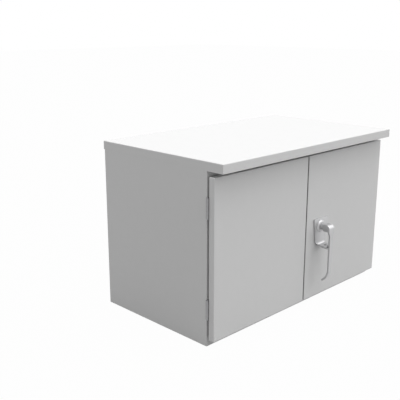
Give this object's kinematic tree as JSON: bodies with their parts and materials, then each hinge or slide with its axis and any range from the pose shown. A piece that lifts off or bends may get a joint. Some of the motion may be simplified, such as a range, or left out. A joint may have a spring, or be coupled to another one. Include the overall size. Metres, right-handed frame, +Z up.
{
  "type": "roadside utility cabinet",
  "caption": "Low wide sheet-metal equipment cabinet with an overhanging flat lid and double doors, closed by a padlockable drop handle and latch bars.",
  "frame": {"origin": "centre of the four anchor holes, on the underside of the floor", "axes": "+Z up, +X across the front to the right of someone facing the doors, -Y out of the doors"},
  "size_m": [0.927, 0.5735, 0.587],
  "materials": {
    "painted_sheet": "fine satin powder coat, light grey",
    "bare_aluminium": "mill finish",
    "zinc_plated_steel": "bright zinc plate",
    "plated_fasteners": "bright zinc plate",
    "hinge_stainless": "tumbled stainless",
    "handle_casting": "satin plated zinc casting",
    "seal_rubber": "matt closed-cell rubber",
    "moulded_nylon": "natural moulded nylon",
    "plug_plastic": "black moulded plastic",
    "earth_brass": "extruded brass"
  },
  "bodies": {
    "cabinet": {"back_panel": "painted_sheet", "centre_post": "painted_sheet", "conduit_plugs": "plug_plastic", "deck_strips": "painted_sheet", "equipment_panel": "bare_aluminium", "floor_plate": "painted_sheet", "floor_strips": "painted_sheet", "frame_hinge_screws": "plated_fasteners", "front_header": "painted_sheet", "front_sill": "painted_sheet", "gland_plate": "painted_sheet", "gland_seal": "seal_rubber", "gland_studs": "plated_fasteners", "ground_bar": "earth_brass", "ground_screws": "plated_fasteners", "hinge_pins": "hinge_stainless", "left_lower_hinge_frame_leaf": "hinge_stainless", "left_side_panel": "painted_sheet", "left_upper_hinge_frame_leaf": "hinge_stainless", "lid_bolts": "plated_fasteners", "lid_cap": "painted_sheet", "lid_soffit": "painted_sheet", "lid_weld_nuts": "plated_fasteners", "panel_studs": "plated_fasteners", "right_lower_hinge_frame_leaf": "hinge_stainless", "right_side_panel": "painted_sheet", "right_upper_hinge_frame_leaf": "hinge_stainless", "roof_deck": "painted_sheet", "stud_nuts": "plated_fasteners"},
    "left_door": {"door_hinge_screws_left": "plated_fasteners", "left_door_pan": "painted_sheet", "left_door_seal": "seal_rubber", "left_door_stiffener": "painted_sheet", "left_lower_hinge_door_leaf": "hinge_stainless", "left_upper_hinge_door_leaf": "hinge_stainless", "slide_bolt_brackets": "moulded_nylon"},
    "right_door": {"bar_guides": "moulded_nylon", "door_hinge_screws_right": "plated_fasteners", "handle_backplate": "handle_casting", "handle_screws": "plated_fasteners", "latch_guide_screws": "plated_fasteners", "latch_housing": "zinc_plated_steel", "meeting_seal": "seal_rubber", "right_door_pan": "painted_sheet", "right_door_seal": "seal_rubber", "right_door_stiffener": "painted_sheet", "right_lower_hinge_door_leaf": "hinge_stainless", "right_upper_hinge_door_leaf": "hinge_stainless"},
    "handle": {"handle_lever": "handle_casting", "handle_spindle": "zinc_plated_steel", "latch_cam": "zinc_plated_steel", "latch_cam_clips": "plated_fasteners"},
    "upper_latch": {"upper_latch_bar": "zinc_plated_steel", "upper_roller_axle": "plated_fasteners"},
    "lower_latch": {"lower_latch_bar": "zinc_plated_steel", "lower_roller_axle": "plated_fasteners"},
    "upper_roller": {"upper_latch_roller": "moulded_nylon"},
    "lower_roller": {"lower_latch_roller": "moulded_nylon"},
    "upper_bolt": {"upper_slide_bolt": "zinc_plated_steel"},
    "lower_bolt": {"lower_slide_bolt": "zinc_plated_steel"}
  },
  "joints": [
    {"name": "left_door_hinge", "type": "hinge", "parent": "cabinet", "child": "left_door", "pos_m": [-0.4588, -0.2477, 0.285], "axis": [0, 0, -1], "range_deg": [0, 180]},
    {"name": "right_door_hinge", "type": "hinge", "parent": "cabinet", "child": "right_door", "pos_m": [0.4588, -0.2477, 0.285], "axis": [0, 0, 1], "range_deg": [0, 180]},
    {"name": "handle_turn", "type": "hinge", "parent": "right_door", "child": "handle", "pos_m": [0.08, -0.273, 0.283], "axis": [0, -1, 0], "range_deg": [0, 90]},
    {"name": "upper_latch_slide", "type": "slide", "parent": "right_door", "child": "upper_latch", "axis": [0, 0, -1], "range_m": [0, 0.0198]},
    {"name": "lower_latch_slide", "type": "slide", "parent": "right_door", "child": "lower_latch", "axis": [0, 0, 1], "range_m": [0, 0.0198]},
    {"name": "upper_roller_spin", "type": "hinge", "parent": "upper_latch", "child": "upper_roller", "pos_m": [0.0675, -0.231, 0.515], "axis": [1, 0, 0], "continuous": true},
    {"name": "lower_roller_spin", "type": "hinge", "parent": "lower_latch", "child": "lower_roller", "pos_m": [0.0925, -0.231, 0.05], "axis": [1, 0, 0], "continuous": true},
    {"name": "upper_bolt_slide", "type": "slide", "parent": "left_door", "child": "upper_bolt", "axis": [0, 0, 1], "range_m": [0, 0.016]},
    {"name": "lower_bolt_slide", "type": "slide", "parent": "left_door", "child": "lower_bolt", "axis": [0, 0, -1], "range_m": [0, 0.016]}
  ],
  "couplings": [
    {"joint": "upper_latch_slide", "follows": "handle_turn", "m_per_rad": 0.0126},
    {"joint": "lower_latch_slide", "follows": "handle_turn", "m_per_rad": 0.0126}
  ]
}
